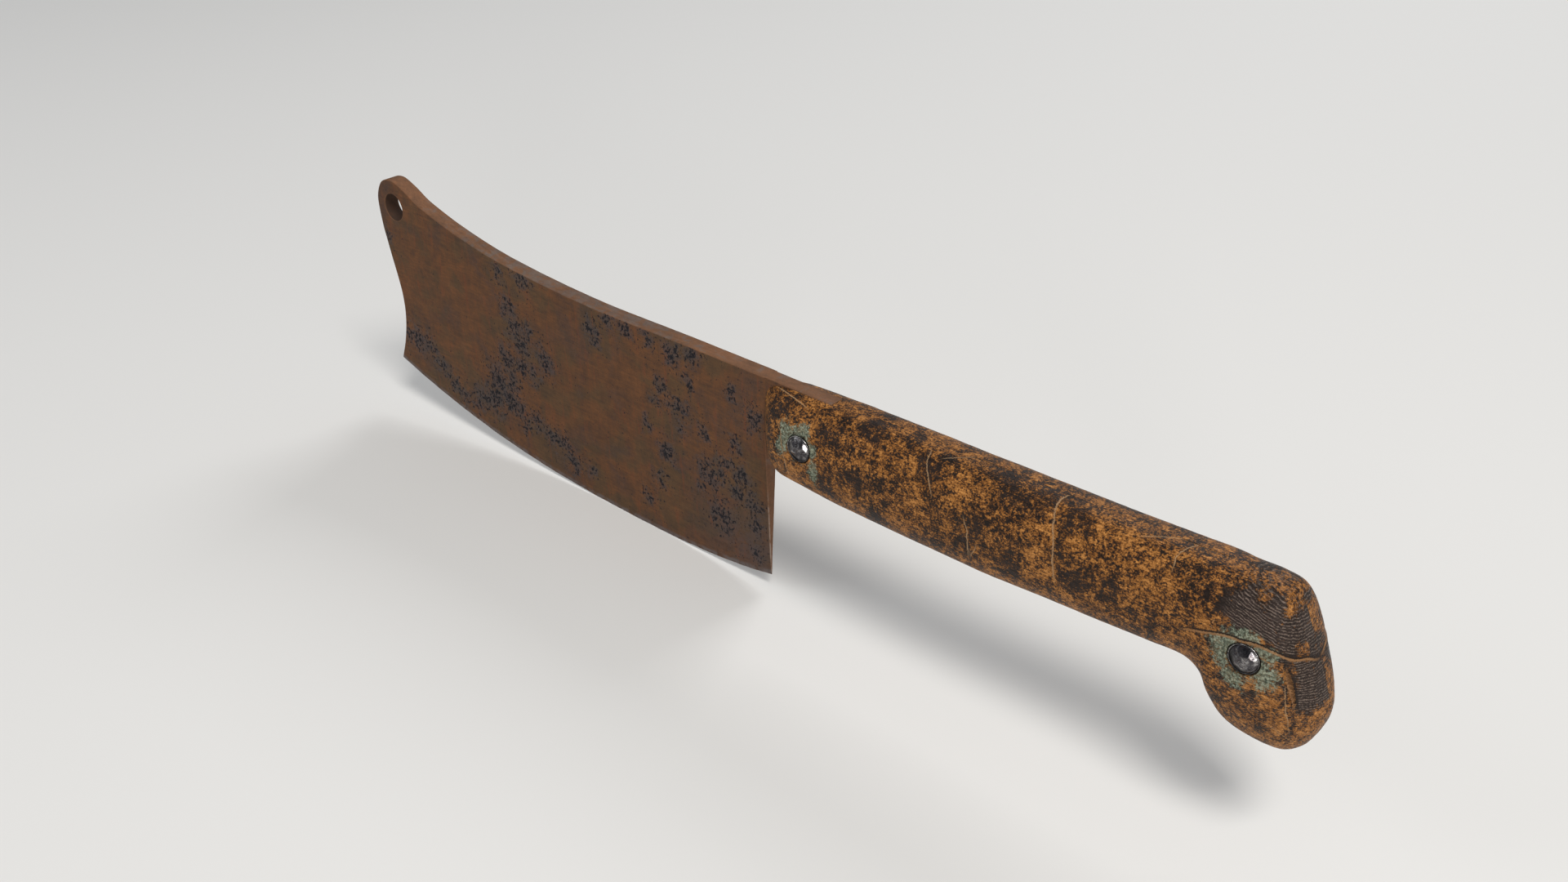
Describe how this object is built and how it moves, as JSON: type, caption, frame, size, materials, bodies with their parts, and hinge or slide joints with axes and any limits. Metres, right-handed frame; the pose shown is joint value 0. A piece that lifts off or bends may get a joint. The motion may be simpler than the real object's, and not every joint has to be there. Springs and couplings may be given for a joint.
{
  "type": "meat cleaver",
  "caption": "Old butcher's cleaver: rusted blade with a curved edge and a horned tip with a hanging hole, and a riveted wooden handle with a hooked pommel.",
  "frame": {"origin": "centre of the cleaver's bounding box, on the blade's middle plane", "axes": "+X along the cleaver from the blade's toe to the butt of the handle, +Y across its thickness from the near cheek to the far one, +Z from the cutting edge up to the spine"},
  "size_m": [0.3528, 0.0246, 0.089],
  "materials": {
    "blade_steel": "rusted and pitted forged steel with a brown patina",
    "handle_wood": "old oiled hardwood, mottled dark, with cracks and a worn satin surface",
    "rivet_metal": "dark worn nickel silver, domed and hammered"
  },
  "bodies": {
    "root": {"blade": "blade_steel", "near_scale": "handle_wood", "far_scale": "handle_wood", "front_rivet_barrel": "rivet_metal", "front_rivet_shank": "rivet_metal", "rear_rivet_barrel": "rivet_metal", "rear_rivet_shank": "rivet_metal"}
  },
  "joints": []
}
